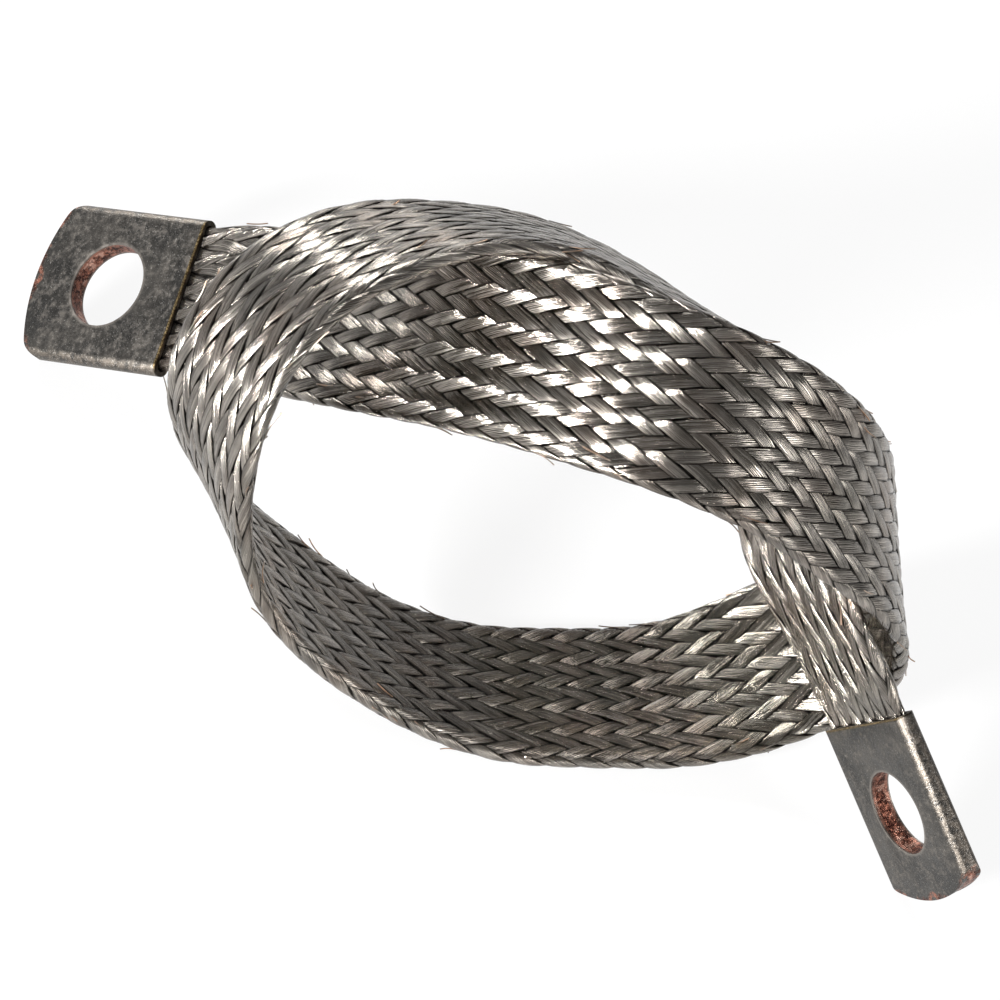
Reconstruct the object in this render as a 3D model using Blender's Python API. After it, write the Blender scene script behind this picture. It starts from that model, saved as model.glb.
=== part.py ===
"""Flexible busbar braid: a flat tinned copper braid, loosely tied in an overhand knot,
with a pressed ferrule on each end that is drilled for a bolt.

Metres, +Z up. The knotted braid lies on z = 0 as it comes to rest, its middle over the origin.
"""

import math

import bmesh
import bpy
import numpy as np
from mathutils import Matrix, Vector

MM = 0.001

# Braid, woven as a tube and pressed flat
BRAID_WIDTH = 21.0 * MM
BRAID_THICKNESS = 2.2 * MM
CARRIERS_EACH_WAY = 24
BRAID_ANGLE = math.radians(23.5)
RIDGE_HEIGHT = 0.25 * MM
NECK_LENGTH = 9.0 * MM

# Ferrule, a tube pressed flat over the end of the braid and drilled
FERRULE_LENGTH = 22.5 * MM
FERRULE_WIDTH = 20.0 * MM
FERRULE_THICKNESS = 2.6 * MM
FERRULE_WALL = 0.6 * MM
TIP_SAG = 1.2 * MM
TIP_CORNER = 2.6 * MM
BOLT_HOLE = 10.5 * MM
HOLE_FROM_MOUTH = 11.3 * MM
HOLE_BEVEL = 0.25 * MM

# Pressed end of the braid, inside its ferrule
CLEARANCE = 0.3 * MM
CORE_SETBACK = 1.0 * MM
CORE_WIDTH = FERRULE_WIDTH - 2 * (FERRULE_WALL + CLEARANCE)
CORE_THICKNESS = FERRULE_THICKNESS - 2 * (FERRULE_WALL + CLEARANCE)
CORE_LENGTH = FERRULE_LENGTH - TIP_SAG - CORE_SETBACK

# How finely round shapes are cut up
ROUND_STEPS = 8
TIP_STEPS = 12
HOLE_STEPS = 48
ROUTE_STEPS = 1500
CORE_ROWS = 3
CUT_MARGIN = 0.05 * MM
MERGE = 0.001 * MM
SHARP_ANGLE = math.radians(35)

BRAID_COLOUR = (0.42, 0.39, 0.36)
BRAID_ROUGHNESS = 0.36
FERRULE_COLOUR = (0.36, 0.35, 0.33)
FERRULE_ROUGHNESS = 0.42

# Where the whole lies: turned so that both bolt holes look roughly along X
SEAT_TURN = math.radians(-39)
SEAT = Vector((-6.3, -4.7, 0.1)) * MM

# Route of the braid from the left ferrule's mouth to the right one's, in millimetres: the
# middle of the braid, then the direction across its width, toward its first edge.
ROUTE = [
    (-44.0, 13.5, 18.35, -0.18, 0.83, 0.54),
    (-35.0, 10.0, 25.8, -0.09, 0.83, 0.54),
    (-26.8, 5.3, 33.7, -0.06, 0.83, 0.56),
    (-18.8, 0.9, 41.3, -0.12, 0.78, 0.62),
    (-10.2, -3.0, 48.4, -0.18, 0.75, 0.64),
    (1.5, -6.3, 54.9, -0.18, 0.75, 0.64),
    (14.0, -6.3, 57.8, -0.15, 0.79, 0.60),
    (25.5, -2.0, 55.0, -0.16, 0.82, 0.54),
    (34.5, 3.5, 48.5, -0.22, 0.85, 0.49),
    (41.0, 9.6, 40.5, -0.38, 0.86, 0.34),
    (44.5, 16.0, 30.0, -0.52, 0.81, 0.26),
    (44.2, 20.0, 18.0, -0.67, 0.70, 0.26),
    (38.2, 18.0, 7.2, -0.68, 0.71, 0.17),
    (29.5, 10.5, 2.2, -0.64, 0.77, 0.04),
    (19.5, 3.0, 1.3, -0.59, 0.81, 0.00),
    (9.0, -4.0, 1.5, -0.50, 0.87, -0.02),
    (-2.0, -9.5, 4.3, -0.44, 0.90, -0.07),
    (-12.0, -14.0, 9.5, -0.40, 0.91, -0.10),
    (-22.0, -17.5, 16.5, -0.44, 0.88, -0.18),
    (-30.0, -19.0, 26.0, -0.57, 0.74, -0.34),
    (-34.0, -16.5, 37.0, -0.66, 0.64, -0.41),
    (-32.5, -9.0, 46.9, -0.62, 0.66, -0.42),
    (-26.0, -1.2, 53.1, -0.57, 0.67, -0.48),
    (-16.5, 6.7, 55.4, -0.50, 0.66, -0.56),
    (-5.9, 14.1, 53.0, -0.48, 0.71, -0.54),
    (5.8, 19.7, 48.5, -0.43, 0.75, -0.52),
    (16.6, 22.8, 44.3, -0.40, 0.64, -0.66),
    (26.0, 19.5, 37.5, -0.43, 0.43, -0.80),
    (33.0, 12.2, 29.7, -0.38, 0.46, -0.80),
    (42.6, 8.1, 23.2, -0.33, 0.55, -0.77),
    (50.3, 4.7, 18.35, -0.34, 0.50, -0.80),
]


def unit(vectors):
    """The vectors, each at length 1."""
    return vectors / np.linalg.norm(vectors, axis=-1, keepdims=True)


def smooth_curve(values, knots, at):
    """Natural cubic spline through the values at the knots, read at `at`."""
    gaps = np.diff(knots)
    count = len(knots)
    system = np.eye(count)
    pull = np.zeros(values.shape)
    for i in range(1, count - 1):
        before, after = gaps[i - 1], gaps[i]
        system[i, i - 1 : i + 2] = before, 2 * (before + after), after
        slopes = (values[i + 1] - values[i]) / after - (values[i] - values[i - 1]) / before
        pull[i] = 6 * slopes
    bend = np.linalg.solve(system, pull)
    k = np.clip(np.searchsorted(knots, at) - 1, 0, count - 2)
    gap = gaps[k][:, None]
    right = (at - knots[k])[:, None] / gap
    left = 1 - right
    straight = left * values[k] + right * values[k + 1]
    curved = (left**3 - left) * bend[k] + (right**3 - right) * bend[k + 1]
    return straight + curved * gap**2 / 6


def braid_route():
    """Distance along the braid, its middle, and its travel and across directions."""
    rows = np.array(ROUTE)
    points = rows[:, :3] * MM
    strides = np.linalg.norm(np.diff(points, axis=0), axis=1)
    knots = np.concatenate([[0.0], np.cumsum(strides)])
    at = np.linspace(0.0, knots[-1], ROUTE_STEPS)
    middle = smooth_curve(points, knots, at)
    across = smooth_curve(rows[:, 3:], knots, at)
    travel = unit(np.gradient(middle, axis=0))
    across = unit(across - (across * travel).sum(axis=1, keepdims=True) * travel)
    steps = np.linalg.norm(np.diff(middle, axis=0), axis=1)
    along = np.concatenate([[0.0], np.cumsum(steps)])
    return along, middle, travel, across


def read_route(route, s):
    """Middle, travel and across directions at a distance along the braid, even past its ends."""
    along, middle, travel, across = route
    inside = min(max(s, 0.0), along[-1])

    def read(table):
        return np.array([np.interp(inside, along, table[:, i]) for i in range(3)])

    forward = unit(read(travel))
    sideways = read(across)
    sideways = unit(sideways - sideways.dot(forward) * forward)
    return read(middle) + forward * (s - inside), forward, sideways


def stadium(width, thickness, count):
    """Points evenly spaced round a flat section with half-round sides, each with its normal."""
    radius = thickness / 2
    flat = width - thickness
    half_round = math.pi * radius
    points = []
    for i in range(count):
        q = 2 * (flat + half_round) * i / count
        side = 1 if q < flat + half_round else -1
        q -= 0 if side > 0 else flat + half_round
        if q < flat:
            x, normal = q - flat / 2, (0.0, 1.0)
        else:
            turn = (q - flat) / radius
            x, normal = flat / 2, (math.sin(turn), math.cos(turn))
        point = (x + radius * normal[0], radius * normal[1])
        points.append([(side * u, side * v) for u, v in (point, normal)])
    return points


def ease(x):
    """Smooth step from 0 to 1."""
    x = min(max(x, 0.0), 1.0)
    return x * x * (3 - 2 * x)


def braid_rows(length):
    """Distances along the braid of the rings of its mesh, from one pressed end to the other."""
    around = 2 * (BRAID_WIDTH - BRAID_THICKNESS) + math.pi * BRAID_THICKNESS
    pitch = around / CARRIERS_EACH_WAY / math.tan(BRAID_ANGLE)
    count = round(length / pitch)
    pressed = [CORE_LENGTH * (i / CORE_ROWS - 1) for i in range(CORE_ROWS)]
    woven = [length * i / count for i in range(count + 1)]
    return pressed + woven + [length - x for x in reversed(pressed)]


def braid_ring(route, s):
    """One ring of the braid: a flat section with a ridge over each column of carriers."""
    length = route[0][-1]
    from_mouth = min(s, length - s)
    spread = ease(from_mouth / NECK_LENGTH)
    swell = ease(2 * from_mouth / NECK_LENGTH)
    width = CORE_WIDTH + (BRAID_WIDTH - CORE_WIDTH) * spread
    thickness = CORE_THICKNESS + (BRAID_THICKNESS - CORE_THICKNESS) * swell
    middle, forward, sideways = read_route(route, s)
    face = np.cross(forward, sideways)
    ring = []
    for i, (point, normal) in enumerate(stadium(width, thickness, 2 * CARRIERS_EACH_WAY)):
        ridge = (RIDGE_HEIGHT if i % 2 else -RIDGE_HEIGHT) / 2 * swell
        x, y = (point[k] + ridge * normal[k] for k in range(2))
        ring.append(Vector(middle + sideways * x + face * y))
    return ring


def finished_mesh(name, bm):
    """The mesh, shaded smooth but for its sharp edges."""
    bmesh.ops.recalc_face_normals(bm, faces=bm.faces)
    mesh = bpy.data.meshes.new(name)
    bm.to_mesh(mesh)
    bm.free()
    mesh.shade_smooth()
    mesh.set_sharp_from_angle(angle=SHARP_ANGLE)
    return mesh


def braid_mesh(route):
    """The braid as one body, its rings joined from pressed end to pressed end."""
    bm = bmesh.new()
    rings = []
    for s in braid_rows(route[0][-1]):
        rings.append([bm.verts.new(point) for point in braid_ring(route, s)])
    for ring, following in zip(rings, rings[1:]):
        for i in range(len(ring)):
            bm.faces.new((ring[i - 1], ring[i], following[i], following[i - 1]))
    bm.faces.new(rings[0])
    bm.faces.new(rings[-1])
    return finished_mesh("braid", bm)


def prism_mesh(name, outline, reach):
    """A flat outline drawn out along `reach` into a closed solid."""
    bm = bmesh.new()
    face = bm.faces.new([bm.verts.new(point) for point in outline])
    drawn = bmesh.ops.extrude_face_region(bm, geom=[face])
    moved = [item for item in drawn["geom"] if isinstance(item, bmesh.types.BMVert)]
    bmesh.ops.translate(bm, verts=moved, vec=reach)
    return finished_mesh(name, bm)


def tube_mesh(name, width, thickness, start, end):
    """A tube pressed flat, as a solid along Y with half-round sides."""
    radius = thickness / 2
    outline = []
    for side in (1, -1):
        for i in range(ROUND_STEPS + 1):
            turn = math.pi * i / ROUND_STEPS
            across = width / 2 - radius + radius * math.sin(turn)
            outline.append((side * across, start, side * radius * math.cos(turn)))
    return prism_mesh(name, outline, (0.0, end - start, 0.0))


def tip_outline():
    """Outline of the sheared ferrule seen from above: a shallow arc with rounded corners."""
    half = FERRULE_WIDTH / 2 + CUT_MARGIN
    arc = (half**2 + TIP_SAG**2) / (2 * TIP_SAG)
    centre = FERRULE_LENGTH - arc
    corner_x = half - TIP_CORNER
    corner_y = centre + math.sqrt((arc - TIP_CORNER) ** 2 - corner_x**2)
    meet = math.atan2(corner_y - centre, corner_x)
    right = []
    for i in range(ROUND_STEPS + 1):
        turn = meet * i / ROUND_STEPS
        right.append((corner_x + TIP_CORNER * math.cos(turn), corner_y + TIP_CORNER * math.sin(turn)))
    tip = []
    for i in range(1, TIP_STEPS):
        turn = meet + (math.pi - 2 * meet) * i / TIP_STEPS
        tip.append((arc * math.cos(turn), centre + arc * math.sin(turn)))
    left = [(-x, y) for x, y in reversed(right)]
    return [(half, -CUT_MARGIN)] + right + tip + left + [(-half, -CUT_MARGIN)]


def bolt_cutter_mesh():
    """The bolt hole's shape: a round bore that flares at both faces of the ferrule."""
    radius = BOLT_HOLE / 2
    face = FERRULE_THICKNESS / 2
    flare = radius + HOLE_BEVEL + face
    profile = [(0, 2 * face), (flare, 2 * face), (radius, face - HOLE_BEVEL)]
    profile += [(x, -z) for x, z in reversed(profile)]
    bm = bmesh.new()
    verts = [bm.verts.new((x, 0.0, z)) for x, z in profile]
    edges = [bm.edges.new(pair) for pair in zip(verts, verts[1:])]
    bmesh.ops.spin(
        bm, geom=verts + edges, axis=(0, 0, 1), cent=(0, 0, 0), angle=math.tau, steps=HOLE_STEPS,
        use_merge=True,
    )
    bmesh.ops.remove_doubles(bm, verts=bm.verts, dist=MERGE)
    bmesh.ops.translate(bm, verts=bm.verts, vec=(0.0, HOLE_FROM_MOUTH, 0.0))
    return finished_mesh("bolt_hole", bm)


def material(name, colour, roughness):
    """Bare metal of one colour."""
    made = bpy.data.materials.new(name)
    made.use_nodes = True
    shader = made.node_tree.nodes["Principled BSDF"]
    shader.inputs["Base Color"].default_value = (*colour, 1.0)
    shader.inputs["Roughness"].default_value = roughness
    shader.inputs["Metallic"].default_value = 1.0
    return made


def add_object(name, mesh, collection, parent=None):
    """An object of the mesh in the collection, in its parent's frame where it has one."""
    obj = bpy.data.objects.new(name, mesh)
    collection.objects.link(obj)
    obj.parent = parent
    return obj


def add_cutter(name, mesh, parent, cutters):
    """A shape that only cuts other shapes."""
    cutter = add_object(name, mesh, cutters, parent)
    cutter.hide_render = True
    cutter.display_type = "WIRE"
    return cutter


def cut(obj, cutter, operation="DIFFERENCE"):
    """Cut the object with the cutter, or keep only what lies in it."""
    step = obj.modifiers.new(cutter.name, "BOOLEAN")
    step.operation = operation
    step.object = cutter


def end_frame(name, route, s, outward, seat, parts):
    """Empty at a ferrule's mouth: +Y toward its tip, +X across it, +Z out of its face."""
    middle, forward, sideways = read_route(route, s)
    tipward = forward * outward
    face = np.cross(sideways, tipward)
    columns = np.column_stack([sideways, tipward, face, middle])
    frame = add_object(name, None, parts, seat)
    frame.matrix_local = Matrix([*columns.tolist(), [0.0, 0.0, 0.0, 1.0]])
    return frame


def add_ferrule(side, frame, braid, meshes, metal, parts, cutters):
    """One ferrule on its end of the braid, with the bolt hole through both."""
    ferrule = add_object(side + "_ferrule", meshes["shell"].copy(), parts, frame)
    ferrule.data.materials.append(metal)
    cut(ferrule, add_cutter(side + "_tip", meshes["tip"], frame, cutters), "INTERSECT")
    cut(ferrule, add_cutter(side + "_hollow", meshes["hollow"], frame, cutters))
    bolt = add_cutter(side + "_bolt", meshes["bolt"], frame, cutters)
    cut(ferrule, bolt)
    cut(braid, bolt)


def main():
    for obj in list(bpy.data.objects):
        bpy.data.objects.remove(obj, do_unlink=True)
    parts = bpy.data.collections.new("flexible_busbar_braid")
    cutters = bpy.data.collections.new("cutters")
    for collection in (parts, cutters):
        bpy.context.scene.collection.children.link(collection)

    seat = add_object("seat", None, parts)
    seat.location = SEAT
    seat.rotation_euler.z = SEAT_TURN

    route = braid_route()
    braid = add_object("braid", braid_mesh(route), parts, seat)
    braid.data.materials.append(material("tinned_braid", BRAID_COLOUR, BRAID_ROUGHNESS))

    hollow_width = FERRULE_WIDTH - 2 * FERRULE_WALL
    hollow_thickness = FERRULE_THICKNESS - 2 * FERRULE_WALL
    past = FERRULE_LENGTH + CLEARANCE
    under = -FERRULE_THICKNESS
    meshes = {
        "shell": tube_mesh("shell", FERRULE_WIDTH, FERRULE_THICKNESS, 0.0, past),
        "hollow": tube_mesh("hollow", hollow_width, hollow_thickness, -CLEARANCE, past + CLEARANCE),
        "tip": prism_mesh("tip", [(x, y, under) for x, y in tip_outline()], (0, 0, -2 * under)),
        "bolt": bolt_cutter_mesh(),
    }
    metal = material("tinned_ferrule", FERRULE_COLOUR, FERRULE_ROUGHNESS)
    ends = (("left", 0.0, -1), ("right", route[0][-1], 1))
    for side, s, outward in ends:
        frame = end_frame(side + "_end", route, s, outward, seat, parts)
        add_ferrule(side, frame, braid, meshes, metal, parts, cutters)


main()
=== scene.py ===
"""Flexible busbar braid: tinned copper wire braided into a flat strap, loosely knotted, with a
pressed and drilled ferrule on each end.

Lengths are in millimetres until a mesh is finished, and in metres after that.
"""

import math
import random

import bmesh
import bpy
import numpy as np
from mathutils import Matrix, Vector


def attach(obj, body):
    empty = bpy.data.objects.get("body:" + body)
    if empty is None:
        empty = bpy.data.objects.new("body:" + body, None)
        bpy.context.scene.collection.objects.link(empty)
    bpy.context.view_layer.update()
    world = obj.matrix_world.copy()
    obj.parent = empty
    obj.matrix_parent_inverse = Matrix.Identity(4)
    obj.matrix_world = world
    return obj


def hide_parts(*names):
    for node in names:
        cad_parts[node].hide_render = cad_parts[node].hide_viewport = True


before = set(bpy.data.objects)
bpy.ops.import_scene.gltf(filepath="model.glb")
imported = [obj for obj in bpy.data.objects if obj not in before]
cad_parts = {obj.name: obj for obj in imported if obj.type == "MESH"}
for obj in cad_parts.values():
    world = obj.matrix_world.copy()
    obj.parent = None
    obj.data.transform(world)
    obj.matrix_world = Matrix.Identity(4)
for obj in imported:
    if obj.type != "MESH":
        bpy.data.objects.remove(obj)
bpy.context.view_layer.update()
MM = 0.001

# Braid: a flattened tube of carriers, each a strip of wires side by side
BRAID_WIDTH = 21.0
BRAID_THICKNESS = 2.2
CARRIERS_EACH_WAY = 24
WIRES_IN_CARRIER = 9
BRAID_ANGLE = math.radians(23.5)
AROUND = 2 * (BRAID_WIDTH - BRAID_THICKNESS) + math.pi * BRAID_THICKNESS
# A column is one carrier's share of the way round; in a pitch a carrier crosses one column.
COLUMN = AROUND / CARRIERS_EACH_WAY
PITCH = COLUMN / math.tan(BRAID_ANGLE)
CARRIER_WIDTH = 1.04 * COLUMN * math.cos(BRAID_ANGLE)
WEAVE_DEPTH = 0.18
WEAVE_SHARPNESS = 1.8
CARRIER_CROWN = 0.115
CARRIER_BACK = 0.2
STEPS_PER_PITCH = 5
STEPS_ACROSS = 6
# Near a mouth the braid narrows and thins to go into its ferrule.
NECK_LENGTH = 9.0
INTO_FERRULE = 3.0
# Where the lay is pulled longer: distance from the left mouth, reach, and by how much.
STRETCHES = ((272.0, 42.0, 0.38), (366.0, 26.0, 0.5), (0.0, 14.0, 0.3))
# Where the front run's upper edge is spread by rubbing on the run above it.
RUB_AT = 56.0
RUB_REACH = 16.0
RUB_WIDENING = 1.15

# Broken wires that stand off the braid
LOOSE_WIRES = 130
LOOSE_WIRE_RADIUS = 0.075
LOOSE_WIRE_POINTS = 6

# Ferrules
FERRULE_LENGTH = 22.5
FERRULE_WIDTH = 20.0
FERRULE_THICKNESS = 2.6
FERRULE_WALL = 0.6
TIP_SAG = 2.4
TIP_CORNER = 3.2
BOLT_HOLE = 10.5
HOLE_FROM_MOUTH = 11.3
HOLE_BEVEL = 0.3
CORE_SETBACK = 0.5
CORE_PLAY = 0.02
TUBE_SIDES = 48
HOLE_SIDES = 96
TIP_COLUMNS = 96

# Where the whole lies
SEAT_TURN = math.radians(-39)
SEAT = Vector((-6.3, -4.7, 0.1))

# Camera, in the route's own axes
AIM = Vector((0.0, 0.0, 26.0))
DISTANCE = 783.84
ELEVATION = math.radians(42.44)
ROLL = math.radians(28.12)
LENS = 243.3

# Studio
FLOOR_WHITENESS = 0.8
WORLD_LIGHT = 0.25
LAMP_DISTANCE = 1.2
# Direction as right, up and toward the camera, then the size in metres and the power in watts.
LAMPS = {
    "key": ((-0.58, -0.14, 0.8), 0.25, 41),
    "back": ((-0.33, 0.94, -0.08), 0.25, 10),
    "top": ((0.02, 0.94, -0.3), 0.4, 3),
    "fill": ((0.9, -0.2, 0.3), 0.5, 5),
}

# Route of the braid from the left ferrule's mouth to the right one's: the middle of the braid,
# then the direction across its width, toward its first edge.
ROUTE = [
    (-44.0, 13.5, 18.35, -0.18, 0.83, 0.54),
    (-35.0, 10.0, 25.8, -0.09, 0.83, 0.54),
    (-26.8, 5.3, 33.7, -0.06, 0.83, 0.56),
    (-18.8, 0.9, 41.3, -0.12, 0.78, 0.62),
    (-10.2, -3.0, 48.4, -0.18, 0.75, 0.64),
    (1.5, -6.3, 54.9, -0.18, 0.75, 0.64),
    (14.0, -6.3, 57.8, -0.15, 0.79, 0.60),
    (25.5, -2.0, 55.0, -0.16, 0.82, 0.54),
    (34.5, 3.5, 48.5, -0.22, 0.85, 0.49),
    (41.0, 9.6, 40.5, -0.38, 0.86, 0.34),
    (44.5, 16.0, 30.0, -0.52, 0.81, 0.26),
    (44.2, 20.0, 18.0, -0.67, 0.70, 0.26),
    (38.2, 18.0, 7.2, -0.68, 0.71, 0.17),
    (29.5, 10.5, 2.2, -0.64, 0.77, 0.04),
    (19.5, 3.0, 1.3, -0.59, 0.81, 0.00),
    (9.0, -4.0, 1.5, -0.50, 0.87, -0.02),
    (-2.0, -9.5, 4.3, -0.44, 0.90, -0.07),
    (-12.0, -14.0, 9.5, -0.40, 0.91, -0.10),
    (-22.0, -17.5, 16.5, -0.44, 0.88, -0.18),
    (-30.0, -19.0, 26.0, -0.57, 0.74, -0.34),
    (-34.0, -16.5, 37.0, -0.66, 0.64, -0.41),
    (-32.5, -9.0, 46.9, -0.62, 0.66, -0.42),
    (-26.0, -1.2, 53.1, -0.57, 0.67, -0.48),
    (-16.5, 6.7, 55.4, -0.50, 0.66, -0.56),
    (-5.9, 14.1, 53.0, -0.48, 0.71, -0.54),
    (5.8, 19.7, 48.5, -0.43, 0.75, -0.52),
    (16.6, 22.8, 44.3, -0.40, 0.64, -0.66),
    (26.0, 19.5, 37.5, -0.43, 0.43, -0.80),
    (33.0, 12.2, 29.7, -0.38, 0.46, -0.80),
    (42.6, 8.1, 23.2, -0.33, 0.55, -0.77),
    (50.3, 4.7, 18.35, -0.34, 0.50, -0.80),
]
ROUTE_STEPS = 1500

chance = random.Random(16)


# Shader maths


class Signal:
    """A shader socket that takes part in Python arithmetic."""

    def __init__(self, tree, socket):
        self.tree = tree
        self.socket = socket

    def math(self, operation, *others):
        node = self.tree.node("ShaderNodeMath", {"operation": operation}, (self, *others))
        return node[0]

    def __add__(self, other):
        return self.math("ADD", other)

    def __sub__(self, other):
        return self.math("SUBTRACT", other)

    def __rsub__(self, other):
        return self.tree.node("ShaderNodeMath", {"operation": "SUBTRACT"}, (other, self))[0]

    def __mul__(self, other):
        return self.math("MULTIPLY", other)

    def __truediv__(self, other):
        return self.math("DIVIDE", other)

    __radd__ = __add__
    __rmul__ = __mul__

    def ramp(self, low, high, start=0.0, end=1.0):
        """Smooth step from `start` to `end` as the value goes from low to high."""
        settings = {"interpolation_type": "SMOOTHSTEP"}
        return self.tree.node("ShaderNodeMapRange", settings, (self, low, high, start, end))[0]


class Finish:
    """A material with a Principled shader and the nodes that drive it."""

    def __init__(self, name, colour, roughness, metallic=1.0):
        self.material = bpy.data.materials.new(name)
        self.material.use_nodes = True
        self.nodes = self.material.node_tree.nodes
        self.links = self.material.node_tree.links
        self.shader = self.nodes["Principled BSDF"]
        self.shader.inputs["Base Color"].default_value = (*colour, 1.0)
        self.shader.inputs["Roughness"].default_value = roughness
        self.shader.inputs["Metallic"].default_value = metallic

    def node(self, kind, settings=None, values=()):
        """A node of that kind; its output sockets, by number or name."""
        node = self.nodes.new(kind)
        for name, value in (settings or {}).items():
            setattr(node, name, value)
        pairs = values.items() if isinstance(values, dict) else enumerate(values)
        for key, value in pairs:
            if isinstance(value, Signal):
                self.links.new(value.socket, node.inputs[key])
            elif value is not None:
                node.inputs[key].default_value = value
        return [Signal(self, output) for output in node.outputs]

    def noise(self, vector, scale, detail=2.0, roughness=0.5):
        values = {"Vector": vector, "Scale": scale, "Detail": detail, "Roughness": roughness}
        return self.node("ShaderNodeTexNoise", None, values)[0]

    def mix(self, amount, first, second):
        """Colour from first to second."""
        node = self.nodes.new("ShaderNodeMix")
        node.data_type = "RGBA"
        for socket, value in ((0, amount), (6, first), (7, second)):
            if isinstance(value, Signal):
                self.links.new(value.socket, node.inputs[socket])
            elif isinstance(value, float):
                node.inputs[socket].default_value = value
            else:
                node.inputs[socket].default_value = (*value, 1.0)
        return Signal(self, node.outputs[2])

    def bump(self, height, distance, strength=1.0):
        values = {"Strength": strength, "Distance": distance, "Height": height}
        return self.node("ShaderNodeBump", None, values)[0]

    def drive(self, **sockets):
        """Link values to the shader's sockets, named with underscores for spaces."""
        for name, value in sockets.items():
            self.links.new(value.socket, self.shader.inputs[name.replace("_", " ").title()])


def braid_wire():
    """Fine tinned copper wires side by side in each carrier."""
    tin = Finish("tinned_braid_wire", (0.24, 0.22, 0.195), 0.28)
    across, along, _ = tin.node(
        "ShaderNodeSeparateXYZ", None, (tin.node("ShaderNodeUVMap", {"uv_map": "lay"})[0],)
    )
    tone = tin.node("ShaderNodeAttribute", {"attribute_name": "tone"})[2]
    place = tin.node("ShaderNodeTexCoord")[3]
    drift_at = tin.node("ShaderNodeCombineXYZ", None, (along * 0.3, tone * 90.0, across * 0.3))[0]
    drift = tin.noise(drift_at, 1.0, 2.0) - 0.5
    wire = across + drift * 2.4
    number = wire.math("FLOOR")
    side = (wire - number) * 2.0 - 1.0
    crown = (1.0 - side * side).math("MAXIMUM", 0.0).math("SQRT")
    wire_at = tin.node("ShaderNodeCombineXYZ", None, (number * 7.3, tone * 57.0, along * 0.12))[0]
    wire_tone = tin.noise(wire_at, 1.0, 1.0)
    float_at = tin.node("ShaderNodeCombineXYZ", None, (along * 0.33, tone * 41.0, 0.0))[0]
    float_tone = tin.noise(float_at, 1.0, 1.0)
    patch = tin.noise(place, 130.0, 3.0)
    tint = tin.noise(place, 45.0, 2.0)
    colour = tin.mix(wire_tone.ramp(0.3, 0.7), (0.2, 0.182, 0.162), (0.42, 0.386, 0.343))
    colour = tin.mix(float_tone.ramp(0.35, 0.68, 0.0, 0.5), colour, (0.1, 0.093, 0.084))
    colour = tin.mix(patch.ramp(0.42, 0.75, 0.0, 0.4), colour, (0.25, 0.185, 0.145))
    colour = tin.mix(tint.ramp(0.5, 0.72, 0.0, 0.4), colour, (0.19, 0.18, 0.145))
    # Painted shade: the colour goes near black along each carrier's edges, standing in for the
    # shade in the slits between carriers.
    edge = (across - WIRES_IN_CARRIER / 2).math("ABSOLUTE") + drift * 1.6
    painted_slit_shade = edge.ramp(WIRES_IN_CARRIER / 2 - 1.1, WIRES_IN_CARRIER / 2 - 0.1)
    colour = tin.mix(painted_slit_shade * 0.8, colour, (0.018, 0.016, 0.014))
    # Painted shade: the colour goes near black at the sides of each wire, standing in for the
    # shade in the valleys between wires.
    colour = tin.mix(crown.ramp(0.0, 0.6, 0.85, 0.0), colour, (0.02, 0.018, 0.016))
    tin.drive(
        base_color=colour,
        roughness=wire_tone.ramp(0.2, 0.8, 0.15, 0.28),
        normal=tin.bump(crown, 0.048 * MM),
    )
    return tin.material


def loose_wire():
    """Broken wires that stand off the braid."""
    tin = Finish("tinned_loose_wire", (0.3, 0.27, 0.23), 0.28)
    place = tin.node("ShaderNodeTexCoord")[3]
    patch = tin.noise(place, 260.0, 2.0)
    tin.drive(base_color=tin.mix(patch.ramp(0.35, 0.65), (0.3, 0.28, 0.25), (0.36, 0.22, 0.14)))
    return tin.material


def ferrule_place(tin, end):
    """Where a point is in a ferrule's own axes, in millimetres: across, toward the tip, out."""
    turn = end.to_3x3().inverted().to_euler("XYZ")
    back = -(end.to_3x3().inverted() @ end.translation)
    settings = {"vector_type": "POINT"}
    values = {
        "Vector": tin.node("ShaderNodeTexCoord")[3],
        "Location": tuple(v / MM for v in back),
        "Rotation": tuple(turn),
        "Scale": (1 / MM,) * 3,
    }
    return tin.node("ShaderNodeMapping", settings, values)[0]


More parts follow.
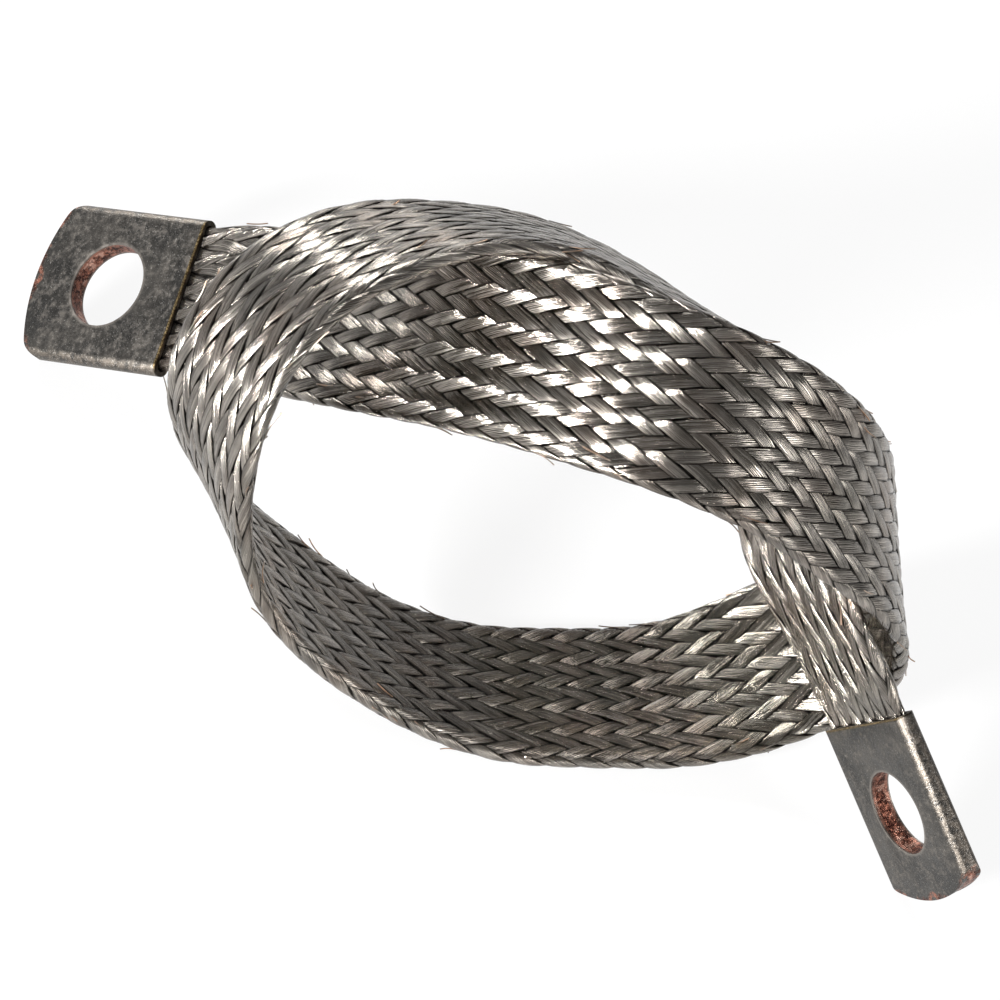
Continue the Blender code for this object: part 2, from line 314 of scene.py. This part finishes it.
def ferrule_tin(side, end):
    """Dull tinned tube: dark and mottled, speckled on its round sides, copper where it is cut."""
    tin = Finish(side + "_ferrule_tin", (0.15, 0.145, 0.135), 0.42)
    place = ferrule_place(tin, end)
    across, along, out = tin.node("ShaderNodeSeparateXYZ", None, (place,))
    cloud = tin.noise(place, 0.22, 4.0)
    mottle = tin.noise(place, 1.1, 5.0, 0.65)
    speck = tin.noise(place, 5.5, 3.0, 0.7)
    grain = tin.noise(place, 14.0, 2.0)
    streak = tin.noise(place, 0.9, 3.0, 0.6)
    side_round = across.math("ABSOLUTE").ramp(8.6, 9.6)
    colour = tin.mix(cloud.ramp(0.35, 0.7), (0.058, 0.056, 0.053), (0.1, 0.093, 0.084))
    colour = tin.mix(mottle.ramp(0.45, 0.72, 0.0, 0.7), colour, (0.19, 0.172, 0.152))
    colour = tin.mix(speck.ramp(0.6, 0.7, 0.0, 0.8), colour, (0.4, 0.39, 0.37))
    colour = tin.mix((1.0 - speck).ramp(0.58, 0.7, 0.0, 0.85), colour, (0.018, 0.016, 0.015))
    colour = tin.mix(side_round * mottle.ramp(0.35, 0.6, 0.0, 0.8), colour, (0.17, 0.145, 0.12))
    colour = tin.mix(side_round * speck.ramp(0.56, 0.64, 0.0, 0.6), colour, (0.5, 0.47, 0.43))
    centre = along - HOLE_FROM_MOUTH
    radius = (across * across + centre * centre).math("SQRT")
    wall = radius.ramp(5.22, 5.32, 1.0, 0.0) * out.math("ABSOLUTE").ramp(1.0, 1.22, 1.0, 0.0)
    # Painted highlight: a lighter ring round the hole, standing in for the light caught by its
    # rounded rim.
    rim = radius.ramp(5.3, 5.7, 1.0, 0.0) * (1.0 - wall)
    colour = tin.mix(rim * 0.6, colour, (0.3, 0.27, 0.24))
    bare = tin.mix(streak.ramp(0.4, 0.62), (0.05, 0.018, 0.013), (0.34, 0.145, 0.1))
    bare = tin.mix(speck.ramp(0.55, 0.66), bare, (0.55, 0.34, 0.26))
    colour = tin.mix(wall, colour, bare)
    bow = across * across * (TIP_SAG / (FERRULE_WIDTH / 2) ** 2)
    worn = along + bow + (cloud - 0.5) * 5.0
    sheared = worn.ramp(21.8, 22.42) * mottle.ramp(0.42, 0.56)
    colour = tin.mix(sheared, colour, bare)
    skin = out.math("ABSOLUTE").ramp(1.0, 1.25)
    mouth = along.ramp(0.12, 0.34, 1.0, 0.0)
    solder = tin.mix(speck.ramp(0.45, 0.58), (0.045, 0.03, 0.016), (0.34, 0.25, 0.12))
    colour = tin.mix(mouth, colour, (0.035, 0.028, 0.02))
    colour = tin.mix(mouth * skin, colour, solder)
    height = mottle * 0.4 + speck * 0.25 + grain * 0.1 + cloud * 2.0 + side_round * mottle * 0.6
    tin.drive(
        base_color=colour,
        roughness=mottle.ramp(0.3, 0.7, 0.32, 0.52),
        normal=tin.bump(height, 0.12 * MM),
    )
    return tin.material


def pressed_copper(side, end):
    """Wires crushed together inside the ferrule, cut through by the drill and the shears."""
    tin = Finish(side + "_pressed_copper", (0.5, 0.25, 0.16), 0.42)
    place = ferrule_place(tin, end)
    grain = tin.noise(place, 1.9, 5.0, 0.72)
    streak = tin.noise(place, 0.9, 3.0, 0.6)
    colour = tin.mix(grain.ramp(0.42, 0.6), (0.035, 0.013, 0.01), (0.3, 0.125, 0.085))
    # Painted highlight: lighter pink streaks on the cut copper, standing in for glints.
    colour = tin.mix(streak.ramp(0.52, 0.66, 0.0, 0.75), colour, (0.6, 0.36, 0.28))
    tin.drive(base_color=colour, normal=tin.bump(grain, 0.35 * MM))
    return tin.material


def studio_floor():
    """Plain white paper that keeps a light shadow of the object."""
    paper = Finish("white_paper", (0.9, 0.9, 0.9), 0.9, 0.0)
    grain = paper.noise(paper.node("ShaderNodeTexCoord")[3], 900.0, 2.0)
    paper.drive(base_color=paper.mix(grain, (0.9, 0.9, 0.9), (0.92, 0.92, 0.92)))
    ray = paper.node("ShaderNodeLightPath")
    seen = (ray[0] + ray[3] + ray[6]).math("MINIMUM", 1.0)
    white = paper.node("ShaderNodeEmission", None, ((1.0, 1.0, 1.0, 1.0), 1.0))[0]
    lit = Signal(paper, paper.shader.outputs[0])
    shown = paper.node("ShaderNodeMixShader", None, (seen * FLOOR_WHITENESS, lit, white))[0]
    output = paper.nodes["Material Output"]
    paper.links.new(shown.socket, output.inputs["Surface"])
    return paper.material


# The braid's route


def unit(vectors):
    """The vectors, each at length 1."""
    return vectors / np.linalg.norm(vectors, axis=-1, keepdims=True)


def smooth_curve(values, knots, at):
    """Natural cubic spline through the values at the knots, read at `at`."""
    gaps = np.diff(knots)
    count = len(knots)
    system = np.eye(count)
    pull = np.zeros(values.shape)
    for i in range(1, count - 1):
        before, after = gaps[i - 1], gaps[i]
        system[i, i - 1 : i + 2] = before, 2 * (before + after), after
        slopes = (values[i + 1] - values[i]) / after - (values[i] - values[i - 1]) / before
        pull[i] = 6 * slopes
    bend = np.linalg.solve(system, pull)
    k = np.clip(np.searchsorted(knots, at) - 1, 0, count - 2)
    gap = gaps[k][:, None]
    right = (at - knots[k])[:, None] / gap
    left = 1 - right
    straight = left * values[k] + right * values[k + 1]
    curved = (left**3 - left) * bend[k] + (right**3 - right) * bend[k + 1]
    return straight + curved * gap**2 / 6


class Route:
    """The line that the middle of the braid follows, and how the braid is turned on it."""

    def __init__(self):
        rows = np.array(ROUTE)
        points = rows[:, :3]
        strides = np.linalg.norm(np.diff(points, axis=0), axis=1)
        knots = np.concatenate([[0.0], np.cumsum(strides)])
        at = np.linspace(0.0, knots[-1], ROUTE_STEPS)
        middle = smooth_curve(points, knots, at)
        across = smooth_curve(rows[:, 3:], knots, at)
        self.travel = unit(np.gradient(middle, axis=0))
        slip = (across * self.travel).sum(axis=1, keepdims=True) * self.travel
        self.across = unit(across - slip)
        self.middle = middle
        steps = np.linalg.norm(np.diff(middle, axis=0), axis=1)
        self.along = np.concatenate([[0.0], np.cumsum(steps)])
        self.length = self.along[-1]
        pitch = np.ones_like(self.along)
        for place, reach, amount in STRETCHES:
            pitch += amount * np.exp(-(((self.along - place) / reach) ** 2))
        laid = np.concatenate([[0.0], steps / (PITCH * pitch[1:])])
        self.crossings = np.cumsum(laid)

    def crossed(self, s):
        """How many columns a carrier has passed at distances along; fewer where pulled long."""
        past = s - np.clip(s, 0.0, self.length)
        return np.interp(s, self.along, self.crossings) + past / PITCH

    def read(self, s):
        """Middle, travel, across and face directions at distances along, even past the ends."""
        s = np.asarray(s, float)
        inside = np.clip(s, 0.0, self.length)

        def at(table):
            return np.stack([np.interp(inside, self.along, table[:, i]) for i in range(3)], -1)

        travel = unit(at(self.travel))
        across = at(self.across)
        across = unit(across - (across * travel).sum(-1, keepdims=True) * travel)
        middle = at(self.middle) + travel * (s - inside)[..., None]
        return middle, travel, across, np.cross(travel, across)


def end_matrix(route, s, outward):
    """A ferrule's mouth: +Y toward its tip, +X across it, +Z out of its face, in metres."""
    middle, travel, across, _ = (Vector(v) for v in route.read(s))
    tipward = travel * outward
    face = across.cross(tipward)
    turn = Matrix((across, tipward, face)).transposed().to_4x4()
    return seat_matrix() @ Matrix.Translation(middle * MM) @ turn


def seat_matrix():
    """From the route's own axes to the part's, in metres."""
    return Matrix.Translation(SEAT * MM) @ Matrix.Rotation(SEAT_TURN, 4, "Z")


# The braid's wires


def ease(x):
    """Smooth step from 0 to 1."""
    x = np.clip(x, 0.0, 1.0)
    return x * x * (3 - 2 * x)


def flat_section(width, thickness, turn):
    """Points round a flat section with half-round sides, and their normals: x, y, nx, ny."""
    radius = thickness / 2
    flat = width - thickness
    half = flat + math.pi * radius
    q = (turn % 1.0) * 2 * half
    side = np.where(q < half, 1.0, -1.0)
    q = np.where(q < half, q, q - half)
    angle = np.clip((q - flat) / radius, 0.0, math.pi)
    on_flat = q < flat
    nx = np.where(on_flat, 0.0, np.sin(angle))
    ny = np.where(on_flat, 1.0, np.cos(angle))
    x = np.where(on_flat, q - flat / 2, flat / 2 + radius * nx)
    return side * x, side * radius * ny, side * nx, side * ny


def wobble(s, size, shortest, longest):
    """A slow random wave along the braid."""
    total = np.zeros_like(s)
    for _ in range(4):
        wave = chance.uniform(shortest, longest)
        total += np.sin(2 * math.pi * s / wave + chance.uniform(0, 2 * math.pi))
    return size * total / 2


def carrier_points(route, number, lay, s, lateral, depth):
    """Points of one carrier: `lateral` from -0.5 to 0.5 across it, `depth` into the braid."""
    from_mouth = np.minimum(s, route.length - s)
    spread = ease(from_mouth / NECK_LENGTH)
    swell = ease(2 * from_mouth / NECK_LENGTH)
    width = FERRULE_WIDTH - 2 * FERRULE_WALL
    width = width + (BRAID_WIDTH - width) * spread - 2 * WEAVE_DEPTH
    thickness = FERRULE_THICKNESS - 2 * FERRULE_WALL
    thickness = thickness + (BRAID_THICKNESS - thickness) * swell - 2 * WEAVE_DEPTH
    breadth = CARRIER_WIDTH * (1 + wobble(s, 0.05, 8, 30)) / math.cos(BRAID_ANGLE)
    crossed = lay * route.crossed(s)
    column = number + crossed + wobble(s, 0.05, 12, 40) + lateral * breadth / COLUMN
    phase = number + column + crossed
    over = lay * np.cos(math.pi / 2 * (phase - 0.5))
    over = np.tanh(WEAVE_SHARPNESS * over) / math.tanh(WEAVE_SHARPNESS)
    height = WEAVE_DEPTH * over * (0.35 + 0.65 * swell) + wobble(s, 0.025, 5, 20)
    height = height - CARRIER_CROWN * (2 * lateral) ** 2 - depth
    x, y, nx, ny = flat_section(width, thickness, column / CARRIERS_EACH_WAY)
    rub = RUB_WIDENING * np.exp(-(((s - RUB_AT) / RUB_REACH) ** 2))
    x = x + rub * np.maximum(x, 0.0) / (BRAID_WIDTH / 2)
    middle, _, across, face = route.read(s)
    return middle + across * (x + nx * height)[..., None] + face * (y + ny * height)[..., None]


def carrier_strip(steps):
    """A strip rolled into a flat tube later on, with a grid of faces and its wires' UV map."""
    bpy.ops.mesh.primitive_grid_add(x_subdivisions=steps, y_subdivisions=STEPS_ACROSS + 2, size=2)
    strip = bpy.context.object
    strip.data.uv_layers[0].name = "lay"
    return strip


def lay_carrier(strip, route, number, lay):
    """Lay a copy of the strip into the braid as one carrier.

    Rows across the strip's face are its wires; the last two rows make its back.
    """
    carrier = strip.copy()
    carrier.data = strip.data.copy()
    bpy.context.collection.objects.link(carrier)
    mesh = carrier.data
    grid = np.empty(3 * len(mesh.vertices))
    mesh.vertices.foreach_get("co", grid)
    grid = grid.reshape(-1, 3)
    s = -INTO_FERRULE + (grid[:, 0] + 1) / 2 * (route.length + 2 * INTO_FERRULE)
    ring = (grid[:, 1] + 1) / 2 * (STEPS_ACROSS + 2)
    back = ring > STEPS_ACROSS + 0.5
    lateral = np.where(back, 0.0, np.minimum(ring, STEPS_ACROSS) / STEPS_ACROSS - 0.5)
    lateral = np.where(ring > STEPS_ACROSS + 1.5, -0.5, lateral)
    depth = np.where(back & (ring < STEPS_ACROSS + 1.5), CARRIER_BACK, 0.0)
    points = carrier_points(route, number, lay, s, lateral, depth)
    mesh.vertices.foreach_set("co", (points * MM).ravel())
    corners = np.empty(len(mesh.loops), np.int32)
    mesh.loops.foreach_get("vertex_index", corners)
    wires = ring[corners] / STEPS_ACROSS * WIRES_IN_CARRIER
    lay_map = np.stack([wires, s[corners]], -1).astype(np.float32)
    mesh.uv_layers["lay"].uv.foreach_set("vector", lay_map.ravel())
    tone = mesh.attributes.new("tone", "FLOAT", "POINT")
    tone.data.foreach_set("value", np.full(len(mesh.vertices), chance.random()))
    return carrier


def deselect():
    bpy.ops.object.select_all(action="DESELECT")


def join(objects, name):
    """One object of several."""
    deselect()
    for obj in objects:
        obj.select_set(True)
    bpy.context.view_layer.objects.active = objects[0]
    bpy.ops.object.join()
    joined = bpy.context.object
    joined.name = joined.data.name = name
    return joined


def weave(route, strip, lay, name, material):
    """All the carriers that turn one way."""
    carriers = [lay_carrier(strip, route, i, lay) for i in range(CARRIERS_EACH_WAY)]
    wires = join(carriers, name)
    bpy.ops.object.mode_set(mode="EDIT")
    bpy.ops.mesh.select_all(action="SELECT")
    bpy.ops.mesh.remove_doubles(threshold=0.001 * MM)
    bpy.ops.mesh.normals_make_consistent(inside=False)
    bpy.ops.object.mode_set(mode="OBJECT")
    bpy.ops.object.shade_smooth()
    wires.data.transform(seat_matrix())
    wires.data.materials.append(material)
    return wires


# Ferrules


def flat_tube(width, thickness, start, end):
    """A pressed tube's solid shape along Y: a cylinder pulled apart sideways."""
    deselect()
    radius = thickness / 2
    bpy.ops.mesh.primitive_cylinder_add(
        vertices=TUBE_SIDES,
        radius=radius,
        depth=end - start,
        location=(0, (start + end) / 2, 0),
        rotation=(math.pi / 2, 0, 0),
    )
    tube = bpy.context.object
    bpy.ops.object.transform_apply(location=True, rotation=True, scale=True)
    bm = bmesh.new()
    bm.from_mesh(tube.data)
    for vert in bm.verts:
        vert.co.x += math.copysign(width / 2 - radius, vert.co.x)
    bm.to_mesh(tube.data)
    bm.free()
    return tube


def tip_edge(across, half):
    """How far along the ferrule its bowed tip reaches, with its corners rounded."""
    arc = (half**2 + TIP_SAG**2) / (2 * TIP_SAG)
    centre = FERRULE_LENGTH - arc
    corner_x = half - TIP_CORNER
    corner_y = centre + math.sqrt((arc - TIP_CORNER) ** 2 - corner_x**2)
    meet = corner_x + TIP_CORNER * corner_x / (arc - TIP_CORNER)
    if abs(across) < meet:
        return centre + math.sqrt(arc**2 - across**2)
    return corner_y + math.sqrt(max(0.0, TIP_CORNER**2 - (abs(across) - corner_x) ** 2))


def tip_plate():
    """Plate with the ferrule's outline seen from above: a bowed tip with round corners."""
    deselect()
    half = FERRULE_WIDTH / 2 + 0.05
    bpy.ops.mesh.primitive_grid_add(x_subdivisions=TIP_COLUMNS, y_subdivisions=1, size=2)
    plate = bpy.context.object
    bpy.ops.object.mode_set(mode="EDIT")
    bm = bmesh.from_edit_mesh(plate.data)
    for vert in bm.verts:
        across = half * math.sin(math.pi / 2 * vert.co.x)
        vert.co = (across, tip_edge(across, half) if vert.co.y > 0 else 0.0, -2.0)
    bmesh.update_edit_mesh(plate.data)
    bpy.ops.mesh.select_all(action="SELECT")
    bpy.ops.mesh.extrude_region_move(TRANSFORM_OT_translate={"value": (0, 0, 4.0)})
    bpy.ops.mesh.select_all(action="SELECT")
    bpy.ops.mesh.normals_make_consistent(inside=False)
    bpy.ops.object.mode_set(mode="OBJECT")
    return plate


def bolt_hole():
    """The drill's shape."""
    deselect()
    bpy.ops.mesh.primitive_cylinder_add(
        vertices=HOLE_SIDES, radius=BOLT_HOLE / 2, depth=8, location=(0, HOLE_FROM_MOUTH, 0)
    )
    drill = bpy.context.object
    bpy.ops.object.transform_apply(location=True, rotation=True, scale=True)
    return drill


def cut(obj, cutter, operation="DIFFERENCE"):
    """Cut with the cutter, or keep only what lies in it, and drop the cutter."""
    step = obj.modifiers.new("cut", "BOOLEAN")
    step.operation = operation
    step.object = cutter
    step.solver = "EXACT"
    bpy.context.view_layer.objects.active = obj
    bpy.ops.object.modifier_apply(modifier=step.name)
    bpy.data.objects.remove(cutter, do_unlink=True)


def soften(obj, width, segments, angle=35):
    """Round the sharp edges and shade the rest smooth."""
    step = obj.modifiers.new("soft_edges", "BEVEL")
    step.width = width
    step.segments = segments
    step.limit_method = "ANGLE"
    step.angle_limit = math.radians(angle)
    step.harden_normals = False
    deselect()
    obj.select_set(True)
    bpy.context.view_layer.objects.active = obj
    bpy.ops.object.modifier_apply(modifier=step.name)
    bpy.ops.object.shade_smooth_by_angle(angle=math.radians(angle))


def finished(obj, name, end, material):
    """Put a piece modelled in a ferrule's axes in its place."""
    obj.name = obj.data.name = name
    obj.data.transform(end @ Matrix.Scale(MM, 4))
    obj.data.materials.clear()
    obj.data.materials.append(material)
    return obj


def ferrule(side, end):
    """The pressed tube on one end of the braid."""
    past = FERRULE_LENGTH + 1
    shell = flat_tube(FERRULE_WIDTH, FERRULE_THICKNESS, 0.0, past)
    cut(shell, tip_plate(), "INTERSECT")
    cut(shell, bolt_hole())
    soften(shell, HOLE_BEVEL, 3, 60)
    hollow = flat_tube(
        FERRULE_WIDTH - 2 * FERRULE_WALL, FERRULE_THICKNESS - 2 * FERRULE_WALL, -1.0, past + 1
    )
    cut(shell, hollow)
    soften(shell, 0.04, 1)
    return finished(shell, side + "_pressed_tube", end, ferrule_tin(side, end))


def pressed_end(side, end):
    """The end of the braid, crushed flat inside its ferrule."""
    width = FERRULE_WIDTH - 2 * (FERRULE_WALL + CORE_PLAY)
    thickness = FERRULE_THICKNESS - 2 * (FERRULE_WALL + CORE_PLAY)
    core = flat_tube(width, thickness, INTO_FERRULE - 1.0, FERRULE_LENGTH - CORE_SETBACK)
    cut(core, tip_plate(), "INTERSECT")
    cut(core, bolt_hole())
    soften(core, 0.05, 1)
    return finished(core, side + "_pressed_end", end, pressed_copper(side, end))


# Loose wires


def broken_wires(route, material):
    """Short broken wires that stand off the braid, most of them along its edges."""
    deselect()
    wires = []
    for _ in range(LOOSE_WIRES):
        s = chance.uniform(4, route.length - 4)
        turn = chance.choice((0.0, 0.5)) + chance.gauss(0, 0.05) - 0.04
        lean = chance.choice((-1, 1)) * BRAID_ANGLE * chance.uniform(0.3, 1.5)
        reach = chance.uniform(1.0, 4.0)
        rise = chance.uniform(0.15, 0.75)
        curl = chance.uniform(-0.8, 0.8)
        points = []
        for k in range(LOOSE_WIRE_POINTS):
            f = k / (LOOSE_WIRE_POINTS - 1)
            at = s + reach * f * math.cos(lean)
            x, y, nx, ny = flat_section(BRAID_WIDTH, BRAID_THICKNESS, np.array(turn))
            middle, _, across, face = route.read(at)
            lift = -0.1 + rise * f * f
            slide = reach * f * math.sin(lean) + curl * f * f
            here = middle + across * (x + nx * lift) + face * (y + ny * lift)
            here = here + (across * ny - face * nx) * slide * 0.4
            points.append(Vector(here))
        wires.append(points)
    curve = bpy.data.curves.new("loose_wires", "CURVE")
    curve.dimensions = "3D"
    curve.bevel_depth = LOOSE_WIRE_RADIUS
    curve.bevel_resolution = 1
    curve.use_fill_caps = True
    for points in wires:
        spline = curve.splines.new("NURBS")
        spline.points.add(len(points) - 1)
        spline.order_u = 4
        spline.resolution_u = 2
        spline.use_endpoint_u = True
        for point, spot in zip(spline.points, points):
            point.co = (*spot, 1.0)
    obj = bpy.data.objects.new("loose_wires", curve)
    bpy.context.collection.objects.link(obj)
    obj.select_set(True)
    bpy.context.view_layer.objects.active = obj
    bpy.ops.object.convert(target="MESH")
    obj = bpy.context.object
    obj.data.transform(seat_matrix() @ Matrix.Scale(MM, 4))
    obj.data.materials.clear()
    obj.data.materials.append(material)
    bpy.ops.object.shade_smooth()
    return obj


# Studio


def camera_axes():
    """The camera's right, up and backward directions in the route's own axes."""
    toward = Vector((0.0, -math.cos(ELEVATION), math.sin(ELEVATION)))
    level = Vector((1.0, 0.0, 0.0))
    rise = toward.cross(level)
    right = level * math.cos(ROLL) + rise * math.sin(ROLL)
    up = rise * math.cos(ROLL) - level * math.sin(ROLL)
    return right, up, toward


def studio_camera():
    right, up, toward = camera_axes()
    turn = Matrix((right, up, toward)).transposed().to_4x4()
    place = Matrix.Translation((AIM + toward * DISTANCE) * MM) @ turn
    data = bpy.data.cameras.new("camera")
    data.lens = LENS
    data.sensor_width = 36.0
    data.clip_end = 20.0
    camera = bpy.data.objects.new("camera", data)
    camera.matrix_world = seat_matrix() @ place
    bpy.context.collection.objects.link(camera)
    bpy.context.scene.camera = camera


def lamp(name, toward, size, power):
    """A soft round lamp in a direction given as right, up and toward the camera."""
    right, up, back = camera_axes()
    way = (right * toward[0] + up * toward[1] + back * toward[2]).normalized()
    way = seat_matrix().to_3x3() @ way
    data = bpy.data.lights.new(name, "AREA")
    data.shape = "DISK"
    data.size = size
    data.energy = power
    light = bpy.data.objects.new(name, data)
    light.location = way * LAMP_DISTANCE + Vector((0, 0, 0.03))
    light.rotation_euler = way.to_track_quat("Z", "Y").to_euler()
    bpy.context.collection.objects.link(light)


def studio():
    deselect()
    bpy.ops.mesh.primitive_plane_add(size=6)
    floor = bpy.context.object
    floor.name = "floor"
    floor.data.materials.append(studio_floor())
    world = bpy.data.worlds.new("studio")
    bpy.context.scene.world = world
    world.use_nodes = True
    background = world.node_tree.nodes["Background"]
    background.inputs["Color"].default_value = (1.0, 1.0, 1.0, 1.0)
    background.inputs["Strength"].default_value = WORLD_LIGHT
    for name, (toward, size, power) in LAMPS.items():
        lamp(name, toward, size, power)
    bpy.context.scene.view_settings.view_transform = "Standard"


def main():
    route = Route()
    wire = braid_wire()
    steps = round(route.length / PITCH) * STEPS_PER_PITCH
    deselect()
    strip = carrier_strip(steps)
    one_way = weave(route, strip, 1, "wires_one_way", wire)
    other_way = weave(route, strip, -1, "wires_other_way", wire)
    bpy.data.objects.remove(strip, do_unlink=True)
    left = end_matrix(route, 0.0, -1)
    right = end_matrix(route, route.length, 1)
    ferrules = [ferrule("left", left), ferrule("right", right)]
    ends = [pressed_end("left", left), pressed_end("right", right)]
    loose = broken_wires(route, loose_wire())
    for piece in (one_way, other_way, loose, *ferrules, *ends):
        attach(piece, "root")
    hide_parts("braid")
    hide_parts("left_ferrule")
    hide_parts("right_ferrule")
    middle = route.read(np.linspace(0, route.length, 60))[0]
    line = [seat_matrix() @ Vector(point * MM) for point in middle]
    studio_camera()
    studio()


main()
